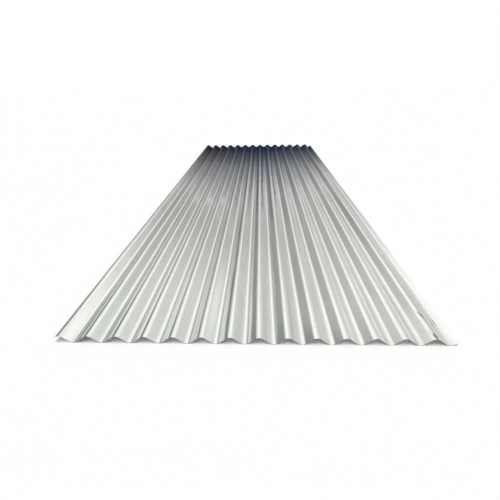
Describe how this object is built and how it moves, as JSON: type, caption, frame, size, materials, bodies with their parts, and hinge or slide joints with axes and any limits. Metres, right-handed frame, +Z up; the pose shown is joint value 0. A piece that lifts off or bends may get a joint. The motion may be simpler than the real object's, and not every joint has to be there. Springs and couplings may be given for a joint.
{
  "type": "roofing sheet",
  "caption": "Corrugated roofing sheet of galvanised steel: a long thin sheet rolled to an even wave of round crests and valleys, laid over purlins to shed rain and lapped at its sides.",
  "frame": {"origin": "centre of the sheet's bounding box, at its bottom, where the undersides of the valleys meet the floor", "axes": "+X across the corrugations, +Y along them, +Z up out of the weather face"},
  "size_m": [0.8862, 2.44, 0.0184],
  "materials": {
    "galvanised_steel": "satin hot-dip zinc coating with faint rolling streaks"
  },
  "bodies": {
    "root": {"corrugated_sheet": "galvanised_steel"}
  },
  "joints": []
}
